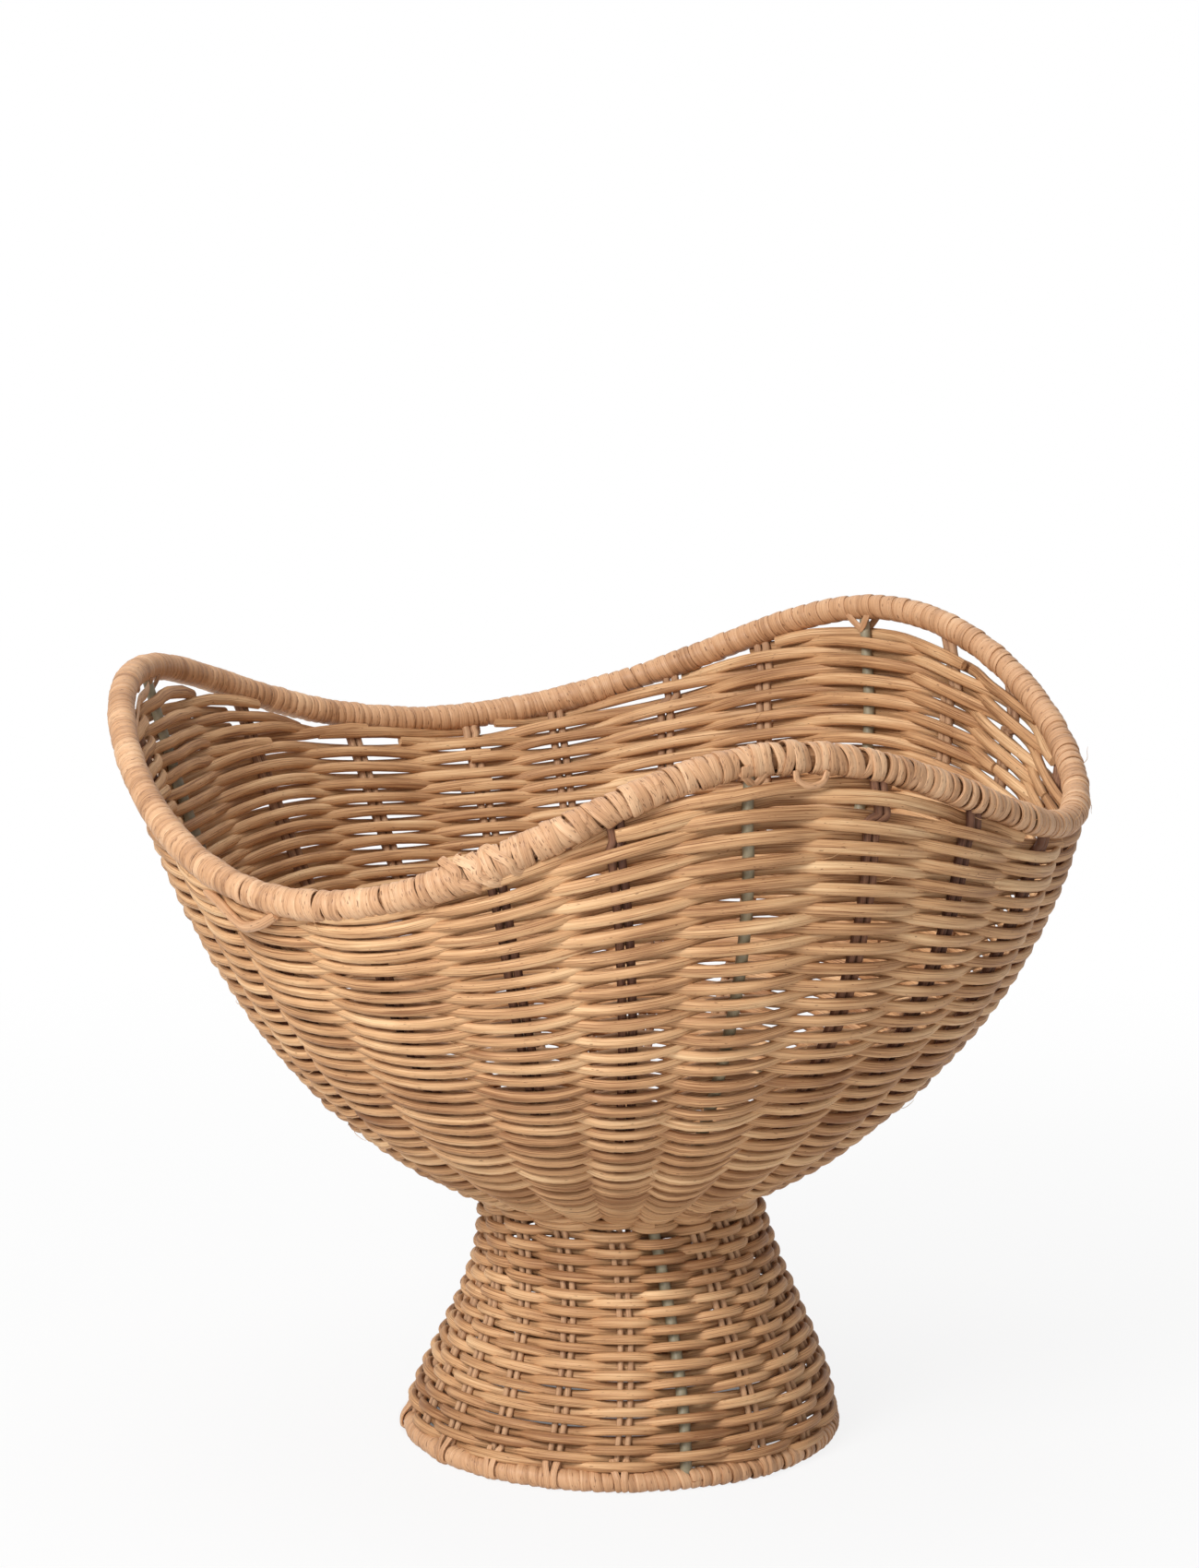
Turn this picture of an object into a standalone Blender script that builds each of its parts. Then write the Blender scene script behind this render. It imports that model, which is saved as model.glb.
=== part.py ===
# A woven rattan basket: a wide bowl with a wavy rim on a flared round foot.
# Steel rings and ribs make the frame, pairs of rattan rods stand between the ribs, and bands
# of plain weave pass in front of one rod pair and behind the next. Each band stands for the
# rows of round rattan that run together there. Metres, +Z up, the front faces -Y.
# An angle is counted round the basket from the front, towards +X.

import math

import bmesh
import bpy
from mathutils import Vector

# Frame of steel rod
rib_count = 3
rib_angle = math.radians(19.7)
steel_diameter = 0.0044
base_ring_radius = 0.0803
waist_height = 0.0995
waist_radius = 0.0508

# Wall of the foot: upright at the base ring, flared in the middle, upright at the waist.
# Its middle is off the waist's by one distance at the base ring and sways out between them.
foot_base_power = 1.45
foot_waist_power = 2.2
foot_offset = 0.0013
foot_sway = 0.0034

# Wall of the bowl, measured at the middle of the weave
bowl_spread = 0.1384
bowl_rise = 0.431
bowl_curve_power = 4.43
bowl_shoulder_power = 0.782
lean_distance = 0.0149
lean_angle = math.radians(-132.4)
lean_power = 3.2

# Rim: its mean height, the wave that lifts it near each rib, and the swells of a hand-made
# rim, each with the times it goes round, its height and the angle of a crest
rim_height = 0.2658
rim_wave = 0.0238
rim_crest_angle = math.radians(18.5)
rim_swells = (
    (1, 0.0081, math.radians(128.6)),
    (2, 0.0031, math.radians(87.5)),
    (4, 0.0029, math.radians(25.2)),
    (5, 0.0017, math.radians(-30.0)),
)
peak_tuck = 0.0085

# Rattan rods that stand in pairs between the ribs
places_per_rib = 8
bowl_rod_diameter = 0.0033
foot_rod_diameter = 0.0024

# Weave
weaver_diameter = 0.0036
weave_clearance = 0.0004
band_gap = 0.0004
plateau_overrun = 0.0006
bowl_bands = 14
foot_bands = 5
row_follow_share = 0.7
row_lift_power = 2.5
row_spacing_power = 1.25
bowl_start_rise = 0.0033
foot_end_drop = 0.0075
fill_reach_places = 2.5
weave_rim_gap = 0.002

# Cane bindings wound round the rim ring and the base ring
rim_binding_diameter = 0.0105
base_binding_diameter = 0.008
bore_clearance = 0.0005
binding_end_gap = 0.0022

# Floor of the bowl, on the waist ring
floor_thickness = 0.0036
floor_overhang = 0.0008

# Small gap that pieces keep where they seat
seat_gap = 0.0003

# Roundness of the faceted rods and rings
rod_sides = 8
ring_steps_per_place = 2
waist_ring_steps = 36
floor_sides = 48

place_count = rib_count * places_per_rib
place_step = math.tau / place_count
steel_radius = steel_diameter / 2
facet_share = math.cos(math.pi / rod_sides)
base_ring_height = base_binding_diameter / 2 * facet_share
rim_seat_drop = rim_binding_diameter / 2 + weave_rim_gap
base_seat_rise = base_binding_diameter / 2 + seat_gap
top_row_height = rim_height - (1 - row_follow_share) * rim_wave - rim_seat_drop
small_step = 0.001


def outward(angle):
    return Vector((math.sin(angle), -math.cos(angle), 0.0))


def place_angle(place):
    return rib_angle + place * place_step


def is_rib(place):
    return place % places_per_rib == 0


def wave(angle):
    return math.cos(rib_count * (angle - rim_crest_angle))


def swell(angle):
    return sum(height * math.cos(times * (angle - crest)) for times, height, crest in rim_swells)


def rim_top(angle):
    return rim_height + rim_wave * wave(angle) + swell(angle)


def bowl_point(angle, height):
    # A point in the middle of the bowl's wall
    rise = height - waist_height
    near = (1 - rise / bowl_rise) ** bowl_curve_power
    radius = waist_radius + bowl_spread * (1 - near) ** bowl_shoulder_power
    climb = rise / (rim_top(angle) - waist_height)
    radius -= peak_tuck * wave(angle) * climb ** 2
    lean = lean_distance * (rise / (rim_height - waist_height)) ** lean_power
    point = outward(angle) * radius + outward(lean_angle) * lean
    point.z = height
    return point


def foot_point(angle, share):
    # A point in the middle of the foot's wall: 0 at the base ring, 1 at the waist's crease
    flare = (1 - share ** foot_base_power) ** foot_waist_power
    radius = waist_radius + (base_ring_radius - waist_radius) * flare
    point = outward(angle) * radius
    point.x += foot_offset * (1 - share) + foot_sway * 4 * share * (1 - share)
    point.z = base_ring_height + (waist_height - base_ring_height) * share
    return point


def row_height(angle, share):
    # Rows lie level near the waist and take up the rim's wave as they climb
    start = waist_height + bowl_start_rise
    mean = start + (top_row_height - start) * share ** row_spacing_power
    return mean + share ** row_lift_power * (row_follow_share * rim_wave * wave(angle) + swell(angle))


# The wall's stations run up the wall: 0 to 1 the foot, 1 to 2 the bend at the waist,
# 2 to 3 the bowl's full rows, 3 to 4 the rest of the weave, up to just under the rim.
FOOT, WAIST, BOWL, PEAK, SEAT = 0.0, 1.0, 2.0, 3.0, 4.0
foot_length = (foot_point(0.0, 1.0) - foot_point(0.0, 0.0)).length
foot_end_share = 1 - foot_end_drop / (waist_height - base_ring_height)
base_seat_station = base_seat_rise / (foot_length * foot_end_share)


def wall_point(angle, station):
    if station < WAIST:
        return foot_point(angle, station * foot_end_share)
    if station < BOWL:
        share = station - WAIST
        lower = foot_point(angle, foot_end_share)
        crease = foot_point(angle, 1.0)
        upper = bowl_point(angle, row_height(angle, 0.0))
        return lower.lerp(crease, share).lerp(crease.lerp(upper, share), share)
    if station < PEAK:
        return bowl_point(angle, row_height(angle, station - BOWL))
    low = row_height(angle, 1.0)
    high = rim_top(angle) - rim_seat_drop
    return bowl_point(angle, low + (high - low) * (station - PEAK))


def wall_frame(angle, station):
    # A point of the wall with its directions along the row, up the wall and out of it
    point = wall_point(angle, station)
    along = wall_point(angle + small_step, station) - wall_point(angle - small_step, station)
    if station < PEAK:
        below = wall_point(angle, max(station - small_step, FOOT))
        above = wall_point(angle, station + small_step)
    else:
        below = bowl_point(angle, point.z - small_step)
        above = bowl_point(angle, point.z + small_step)
    along.normalize()
    up = (above - below).normalized()
    out = along.cross(up).normalized()
    return point, along, up, out


def new_material(name, colour, roughness, metallic=0.0):
    material = bpy.data.materials.new(name)
    material.use_nodes = True
    shader = material.node_tree.nodes["Principled BSDF"]
    shader.inputs["Base Color"].default_value = (*colour, 1.0)
    shader.inputs["Roughness"].default_value = roughness
    shader.inputs["Metallic"].default_value = metallic
    material.diffuse_color = (*colour, 1.0)
    return material


def keep(thing, material):
    # Puts an object in the basket's collection, under its empty, with its material
    for collection in list(thing.users_collection):
        collection.objects.unlink(thing)
    basket.objects.link(thing)
    thing.data.materials.clear()
    thing.data.materials.append(material)
    thing.parent = origin
    return thing


def loft(name, rings, material, closed=False):
    # Skins a row of rings that have the same number of points; the ends are capped
    mesh = bmesh.new()
    rows = [[mesh.verts.new(point) for point in ring] for ring in rings]
    sides = len(rows[0])
    spans = list(zip(rows, rows[1:]))
    if closed:
        spans.append((rows[-1], rows[0]))
    else:
        mesh.faces.new(rows[0])
        mesh.faces.new(rows[-1])
    for first, second in spans:
        for side in range(sides):
            after = (side + 1) % sides
            mesh.faces.new((first[side], first[after], second[after], second[side]))
    bmesh.ops.recalc_face_normals(mesh, faces=mesh.faces)
    data = bpy.data.meshes.new(name)
    mesh.to_mesh(data)
    mesh.free()
    return keep(bpy.data.objects.new(name, data), material)


def stake_size(place, station):
    # Width along the row and depth through the wall of what stands at a place
    if is_rib(place):
        return steel_diameter, steel_diameter
    share = min(max(station - WAIST, 0.0), 1.0)
    rod = foot_rod_diameter + (bowl_rod_diameter - foot_rod_diameter) * share
    return 2 * rod, rod


def upright(place, name, stations, material):
    # A rib or a pair of rods, as one rod that follows the wall
    rings = []
    for point, along, up, out, station in stations:
        width, depth = stake_size(place, station)
        ring = []
        for step in range(rod_sides):
            turn = math.tau * (step + 0.5) / rod_sides
            across = math.copysign(abs(math.cos(turn)) ** (depth / width), math.cos(turn))
            ring.append(point + along * across * width / 2 + out * math.sin(turn) * depth / 2)
        rings.append(ring)
    return loft(name, rings, material)


def upright_stations(place):
    # Where a rod bends: at every band's edge and through the waist
    angle = place_angle(place)
    stations = [base_seat_station]
    stations += [step / foot_bands for step in range(1, foot_bands + 1)]
    stations += [WAIST + 1 / 3, WAIST + 2 / 3]
    stations += [BOWL + step / bowl_bands for step in range(bowl_bands + 1)]
    stations.append(SEAT)
    found = [(*wall_frame(angle, station), station) for station in stations]
    # A rib reaches the rings, and the rods stop at the bindings
    low_radius = steel_radius if is_rib(place) else base_binding_diameter / 2
    high_radius = steel_radius if is_rib(place) else rim_binding_diameter / 2
    point, along, up, out, station = found[0]
    foot = foot_point(angle, 0.0) + up * (low_radius + seat_gap)
    found[0] = (foot, along, up, out, station)
    point, along, up, out, station = found[-1]
    ring = bowl_point(angle, rim_top(angle))
    reach = (ring - point).normalized()
    drop = (high_radius + seat_gap) / reach.cross(along).length
    found[-1] = (ring - reach * drop, along, reach, out, station)
    return found


def band_corner(place, side, phase, station, edge):
    # Inner and outer corner of a band's edge, beside the rod at a place
    point, along, up, out = wall_frame(place_angle(place), station)
    width, depth = stake_size(place, station)
    reach = depth / 2 + weave_clearance + weaver_diameter / 2
    middle = point + along * side * (width / 2 + plateau_overrun) + out * phase * reach
    middle += up * edge * band_gap / 2
    half = out * weaver_diameter / 2
    return middle - half, middle + half


def band_end(place, station, edge):
    # The same at the middle of the space between two places, where a short band stops
    point, along, up, out = wall_frame(place_angle(place), station)
    middle = point + up * edge * band_gap / 2
    half = out * weaver_diameter / 2
    return middle - half, middle + half


def ring_of(lower, upper):
    return [lower[0], lower[1], upper[1], upper[0]]


def band(name, low, high, shift, material):
    # A band of weave round the whole basket, out at one place and in at the next
    rings = []
    for place in range(place_count):
        phase = 1 if (place + shift) % 2 else -1
        for side in (-1, 1):
            lower = band_corner(place, side, phase, low, 1)
            upper = band_corner(place, side, phase, high, -1)
            rings.append(ring_of(lower, upper))
    return loft(name, rings, material, closed=True)


def peak_fill(name, rib, shift, material):
    # The short rows under a high point of the rim
    reach = int(fill_reach_places)
    middle = rib * places_per_rib
    first = middle - fill_reach_places
    last = middle + fill_reach_places
    rings = [ring_of(band_end(first, PEAK, 1), band_end(first, SEAT, 0))]
    for place in range(middle - reach, middle + reach + 1):
        phase = 1 if (place + shift) % 2 else -1
        for side in (-1, 1):
            lower = band_corner(place, side, phase, PEAK, 1)
            upper = band_corner(place, side, phase, SEAT, 0)
            rings.append(ring_of(lower, upper))
    rings.append(ring_of(band_end(last, PEAK, 1), band_end(last, SEAT, 0)))
    return loft(name, rings, material)


def wire(name, points, radius, material, closed):
    # A round rod or tube along points; the half facet of tilt lays a flat side on the floor
    curve = bpy.data.curves.new(name, "CURVE")
    curve.dimensions = "3D"
    curve.bevel_depth = radius
    curve.bevel_resolution = (rod_sides - 4) // 2
    spline = curve.splines.new("POLY")
    spline.points.add(len(points) - 1)
    for knot, point in zip(spline.points, points):
        knot.co = (*point, 1.0)
        knot.tilt = math.pi / rod_sides
    spline.use_cyclic_u = closed
    return keep(bpy.data.objects.new(name, curve), material)


def binding(name, ring_points, rib, diameter, material):
    # Cane wound round a ring, from one rib to the next, as a tube with open ends
    steps = places_per_rib * ring_steps_per_place
    first = rib * steps
    points = [ring_points[(first + step) % len(ring_points)] for step in range(steps + 1)]
    end_gap = steel_radius + binding_end_gap
    start = points[0] + (points[1] - points[0]).normalized() * end_gap
    finish = points[-1] + (points[-2] - points[-1]).normalized() * end_gap
    points = [start] + points[1:-1] + [finish]
    tube = wire(name, points, diameter / 2, material, closed=False)
    wall = tube.modifiers.new("wall", "SOLIDIFY")
    wall.thickness = diameter / 2 - steel_radius - bore_clearance
    wall.offset = -1.0
    return tube


def ring_angles():
    count = place_count * ring_steps_per_place
    return [rib_angle + math.tau * step / count for step in range(count)]


def build_frame(steel):
    rim_points = [bowl_point(angle, rim_top(angle)) for angle in ring_angles()]
    base_points = [foot_point(angle, 0.0) for angle in ring_angles()]
    wire("rim_ring", rim_points, steel_radius, steel, closed=True)
    wire("base_ring", base_points, steel_radius, steel, closed=True)
    for rib in range(rib_count):
        place = rib * places_per_rib
        upright(place, f"steel_rib_{rib + 1}", upright_stations(place), steel)
    return rim_points, base_points


def build_waist(steel, rattan):
    # The waist ring lies against the ribs from inside, and the floor lies on the ring
    spots = []
    for angle in (0.0, math.pi):
        point, along, up, out = wall_frame(angle, (WAIST + BOWL) / 2)
        spots.append(point - out * (steel_diameter + seat_gap))
    centre = (spots[0] + spots[1]) / 2
    ring_radius = (spots[0] - spots[1]).length / 2
    bpy.ops.mesh.primitive_torus_add(
        location=centre, major_radius=ring_radius, minor_radius=steel_radius,
        major_segments=waist_ring_steps, minor_segments=rod_sides)
    ring = bpy.context.object
    ring.name = "waist_ring"
    keep(ring, steel)

    mesh = bmesh.new()
    radius = ring_radius + floor_overhang
    bmesh.ops.create_cone(mesh, cap_ends=True, segments=floor_sides, radius1=radius,
                          radius2=radius, depth=floor_thickness)
    data = bpy.data.meshes.new("bowl_floor")
    mesh.to_mesh(data)
    mesh.free()
    disc = keep(bpy.data.objects.new("bowl_floor", data), rattan)
    disc.location = centre
    disc.location.z += steel_radius + seat_gap + floor_thickness / 2


def build_stakes(material):
    number = 0
    for place in range(place_count):
        if is_rib(place):
            continue
        number += 1
        upright(place, f"stake_{number:02d}", upright_stations(place), material)


def build_weave(material):
    for number in range(foot_bands):
        low = max(number / foot_bands, base_seat_station)
        high = (number + 1) / foot_bands
        band(f"foot_weave_{number + 1}", low, high, number, material)
    for number in range(bowl_bands):
        low = BOWL + number / bowl_bands
        high = BOWL + (number + 1) / bowl_bands
        band(f"bowl_weave_{number + 1}", low, high, foot_bands + number, material)
    for rib in range(rib_count):
        peak_fill(f"peak_fill_{rib + 1}", rib, foot_bands + bowl_bands, material)


def shade(thing):
    if thing.type == "MESH":
        thing.data.shade_smooth()
        thing.data.set_sharp_from_angle(angle=math.radians(40))


def centre_under_rim():
    # The part's origin is on the floor, under the middle of the part's outline
    bpy.context.view_layer.update()
    view = bpy.context.evaluated_depsgraph_get()
    spots = []
    for thing in basket.objects:
        if thing.type == "EMPTY":
            continue
        shape = thing.evaluated_get(view)
        mesh = shape.to_mesh()
        spots += [thing.matrix_world @ corner.co for corner in mesh.vertices]
        shape.to_mesh_clear()
    for axis in range(2):
        values = [spot[axis] for spot in spots]
        origin.location[axis] = -(min(values) + max(values)) / 2


for thing in list(bpy.data.objects):
    bpy.data.objects.remove(thing, do_unlink=True)

basket = bpy.data.collections.new("woven_pedestal_basket")
bpy.context.scene.collection.children.link(basket)
origin = bpy.data.objects.new("basket_origin", None)
basket.objects.link(origin)

steel_paint = new_material("painted_steel", (0.20, 0.19, 0.13), 0.45, 0.2)
stake_rattan = new_material("stake_rattan", (0.24, 0.12, 0.06), 0.7)
weaver_rattan = new_material("weaver_rattan", (0.56, 0.35, 0.18), 0.6)
cane_peel = new_material("cane_peel", (0.60, 0.38, 0.20), 0.55)

rim_path, base_path = build_frame(steel_paint)
build_waist(steel_paint, weaver_rattan)
build_stakes(stake_rattan)
build_weave(weaver_rattan)
for rib in range(rib_count):
    binding(f"rim_binding_{rib + 1}", rim_path, rib, rim_binding_diameter, cane_peel)
    binding(f"base_binding_{rib + 1}", base_path, rib, base_binding_diameter, cane_peel)
for thing in basket.objects:
    shade(thing)
centre_under_rim()
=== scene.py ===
# Looks of a woven rattan basket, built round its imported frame. Metres, +Z up, the front faces -Y.
# An angle is counted round the basket from the front, towards +X.

import math

import bpy
import numpy as np
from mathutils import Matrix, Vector


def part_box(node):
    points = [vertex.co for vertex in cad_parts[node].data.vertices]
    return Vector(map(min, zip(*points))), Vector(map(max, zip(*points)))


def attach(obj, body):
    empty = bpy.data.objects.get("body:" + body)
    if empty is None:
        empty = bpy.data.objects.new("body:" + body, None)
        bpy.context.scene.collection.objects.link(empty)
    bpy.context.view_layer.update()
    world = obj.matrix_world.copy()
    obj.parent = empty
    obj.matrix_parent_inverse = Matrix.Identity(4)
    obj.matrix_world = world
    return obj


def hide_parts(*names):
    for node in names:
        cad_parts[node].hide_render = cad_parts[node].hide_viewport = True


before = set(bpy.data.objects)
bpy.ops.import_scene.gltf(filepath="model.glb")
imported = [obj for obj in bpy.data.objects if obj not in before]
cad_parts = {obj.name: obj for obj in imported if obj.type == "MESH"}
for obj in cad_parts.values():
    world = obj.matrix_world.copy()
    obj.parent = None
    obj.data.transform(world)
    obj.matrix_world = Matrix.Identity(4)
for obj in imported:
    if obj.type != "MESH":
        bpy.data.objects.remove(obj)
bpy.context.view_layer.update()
print("frame loaded,", len(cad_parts), "nodes")

mm = 0.001

# The wall that everything is woven on, with the sizes of the part's source
wall = {
    "ribs": 3,
    "ribAngle": math.radians(19.7),
    "baseRadius": 80.3 * mm,
    "waistRadius": 50.8 * mm,
    "waistHeight": 99.5 * mm,
    "basePower": 1.45,
    "waistPower": 2.2,
    "footOffset": 1.3 * mm,
    "footSway": 3.4 * mm,
    "spread": 138.4 * mm,
    "rise": 431.0 * mm,
    "curvePower": 4.43,
    "shoulderPower": 0.782,
    "leanDistance": 14.9 * mm,
    "leanAngle": math.radians(-132.4),
    "leanPower": 3.2,
    "rimHeight": 265.8 * mm,
    "rimWave": 23.8 * mm,
    "rimCrest": math.radians(18.5),
    # the swells of the rim: times round, millimetres and the degrees of a crest
    "rimSwells": ((1, 8.1, 128.6), (2, 3.1, 87.5), (4, 2.9, 25.2), (5, 1.7, -30.0)),
    "peakTuck": 8.5 * mm,
    # the lower bowl bulges a little to the left: how far, at what height, over what height
    "bulge": (-1.4 * mm, 124 * mm, 38 * mm),
    # rows follow the rim's wave in part, and its swells less
    "followShare": 0.7,
    "swellShare": 0.35,
    "leftDip": (21.6 * mm, math.radians(257), math.radians(25.5)),
    "liftPower": 2.5,
    "spacingPower": 1.25,
    "startRise": 3.3 * mm,
    "topRow": 251.41 * mm,
    "footEndDrop": 7.5 * mm,
}
ringLow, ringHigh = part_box("base_ring")
ringHeight = (ringLow.z + ringHigh.z) / 2
middle = np.array([(ringLow.x + ringHigh.x) / 2 - wall["footOffset"], (ringLow.y + ringHigh.y) / 2, 0.0])
footEndShare = 1 - wall["footEndDrop"] / (wall["waistHeight"] - ringHeight)

# Where the rods and ribs stand, in degrees, as seen in the photograph: the bowl has 24 places,
# with ribs at 0, 8 and 15, and the foot has its own 19, with ribs at 0, 6 and 12. Rods turn
# from the low to the top table over the given stations.
places = {
    "bowlTurn": (2.45, 0.9),
    "footTurnPower": 1.5,
    "bowlTop": (21.0, 37.0, 50.9, 66, 81.5, 96, 110.1, 122.4, 137.0, 155.3, 169.5, 185.7, 197.5,
                214.8, 233.5, 256.4, 268.5, 280.4, 292.4, 304.4, 316.5, 331.5, 348.5, 363.3),
    "bowlLow": (15.5, 31.9, 46.6, 62, 79, 97, 114.8, 128, 141.8, 157.6, 173.0, 186.1, 198.1,
                214.6, 233.2, 260.5, 270.5, 280.5, 290.6, 300.8, 311.3, 330.0, 347.5, 361.6),
    "footLow": (17.0, 40.0, 60.0, 80.5, 100, 120, 139.0, 159, 178.5, 198, 217.5, 236.5, 255.5,
                272.5, 289, 305.3, 323.4, 341.1, 359.3),
    "footTop": (14.3, 33.5, 48, 68, 90, 114, 137, 157.5, 177, 197, 216, 234, 251,
                265, 279.5, 295, 313, 334, 358),
}


def outward(angle):
    return np.stack([np.sin(angle), -np.cos(angle), np.zeros_like(angle)], axis=-1)


def wave(angle):
    return np.cos(wall["ribs"] * (angle - wall["rimCrest"]))


def swell(angle):
    return sum(height * mm * np.cos(times * (angle - math.radians(crest)))
               for times, height, crest in wall["rimSwells"])


def rimTop(angle):
    return wall["rimHeight"] + wall["rimWave"] * wave(angle) + swell(angle)


def bowlPoint(angle, height):
    rise = height - wall["waistHeight"]
    near = (1 - rise / wall["rise"]) ** wall["curvePower"]
    radius = wall["waistRadius"] + wall["spread"] * np.maximum(1 - near, 0) ** wall["shoulderPower"]
    climb = rise / (rimTop(angle) - wall["waistHeight"])
    radius = radius - wall["peakTuck"] * wave(angle) * climb ** 2
    climb = np.maximum(rise, 0) / (wall["rimHeight"] - wall["waistHeight"])
    lean = wall["leanDistance"] * climb ** wall["leanPower"]
    leanWay = outward(np.full_like(angle, wall["leanAngle"]))
    point = outward(angle) * radius[..., None] + leanWay * lean[..., None]
    point[..., 0] += bulge(height)
    point[..., 2] = height
    return point + middle


def bulge(height):
    size, centre, reach = wall["bulge"]
    return size * np.exp(-((height - centre) / reach) ** 2)


def footPoint(angle, share):
    flare = (1 - np.maximum(share, 0) ** wall["basePower"]) ** wall["waistPower"]
    radius = wall["waistRadius"] + (wall["baseRadius"] - wall["waistRadius"]) * flare
    point = outward(angle) * radius[..., None]
    point[..., 0] += wall["footOffset"] * (1 - share) + wall["footSway"] * 4 * share * (1 - share)
    point[..., 2] = ringHeight + (wall["waistHeight"] - ringHeight) * share
    point[..., 0] += bulge(point[..., 2])
    return point + middle


def dip(angle):
    # The full rows stay lower at the left, where more short rows lie over them
    size, centre, reach = wall["leftDip"]
    away = (np.asarray(angle) - centre + math.pi) % math.tau - math.pi
    return size * np.exp(-(away / reach) ** 2)


def rowHeight(angle, share):
    start = wall["waistHeight"] + wall["startRise"]
    level = start + (wall["topRow"] - start) * share ** wall["spacingPower"]
    follow = wall["followShare"] * wall["rimWave"] * wave(angle) + wall["swellShare"] * swell(angle)
    follow = follow - dip(angle)
    return level + share ** wall["liftPower"] * follow


# Stations run up the wall: 0 to 1 foot, 1 to 2 bend at the waist, 2 to 3 the bowl's full rows.
# Above 3 a station counts centimetres over the full rows.
lowest, footTop, bendTop, bowlTop, highest = -0.05, 1.0, 2.0, 3.0, 7.0
centimetre = 10 * mm
smallStep = 0.002


def wallPoint(angle, station):
    angle, station = np.broadcast_arrays(np.asarray(angle, float), np.asarray(station, float))
    foot = footPoint(angle, np.clip(station, lowest, footTop) * footEndShare)
    share = np.clip(station - footTop, 0, 1)[..., None]
    lower = footPoint(angle, np.full_like(angle, footEndShare))
    crease = footPoint(angle, np.ones_like(angle))
    upper = bowlPoint(angle, rowHeight(angle, np.zeros_like(angle)))
    bend = (1 - share) ** 2 * lower + 2 * share * (1 - share) * crease + share ** 2 * upper
    bowl = bowlPoint(angle, rowHeight(angle, np.clip(station - bendTop, 0, 1)))
    over = np.clip(station - bowlTop, 0, highest - bowlTop) * centimetre
    peak = bowlPoint(angle, rowHeight(angle, np.ones_like(angle)) + over)
    level = station[..., None]
    lowHalf = np.where(level < footTop, foot, bend)
    return np.where(level < bendTop, lowHalf, np.where(level < bowlTop, bowl, peak))


def unit(vectors):
    return vectors / np.linalg.norm(vectors, axis=-1, keepdims=True)


def squareTo(way, vectors):
    return unit(vectors - way * (vectors * way).sum(-1, keepdims=True))


def sidesOf(path, facing):
    # The directions across a path and away from what it lies on
    forward = unit(np.gradient(path, axis=0))
    away = squareTo(forward, facing)
    return np.cross(forward, away), away


def facingOut(degrees):
    return outward(np.array(math.radians(degrees)))


def smooth(part):
    return part * part * (3 - 2 * part)


def eased(part, a, b, c, d):
    # From b to c, on a smooth curve through all four
    return b + part / 2 * (c - a + part * (2 * a - 5 * b + 4 * c - d + part * (3 * (b - c) + d - a)))


def wallFrame(angle, station):
    # A point of the wall, with its directions along the row, up the wall and out of it
    point = wallPoint(angle, station)
    along = unit(wallPoint(angle + smallStep, station) - wallPoint(angle - smallStep, station))
    up = wallPoint(angle, station + smallStep) - wallPoint(angle, station - smallStep)
    up = squareTo(along, up)
    return point, along, up, np.cross(along, up)


def between(table, place):
    # The angle at any place of a table, eased from one place to the next
    count = len(table)
    step = 360 / count
    spread = np.array(table) - step * np.arange(count)
    low = np.floor(place).astype(int)
    part = place - low
    a, b, c, d = (spread[(low + shift) % count] for shift in (-1, 0, 1, 2))
    return np.radians(eased(part, a, b, c, d) + step * place)


def bowlAngle(place, station):
    start, reach = places["bowlTurn"]
    climb = smooth(np.clip((station - start) / reach, 0, 1))
    place, climb = np.broadcast_arrays(np.asarray(place, float), climb)
    return between(places["bowlLow"], place) * (1 - climb) + between(places["bowlTop"], place) * climb


def footAngle(place, station):
    climb = np.clip(station, 0, 1) ** places["footTurnPower"]
    place, climb = np.broadcast_arrays(np.asarray(place, float), climb)
    return between(places["footLow"], place) * (1 - climb) + between(places["footTop"], place) * climb


def bowlPlace(degrees):
    # The place of an angle at the rim
    turn = len(places["bowlTop"])
    grid = np.linspace(-turn, turn, 40 * turn + 1)
    return float(np.interp(math.radians(degrees), between(places["bowlTop"], grid), grid))


endShare = 0.86
sharpAngle = math.radians(55)


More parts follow.
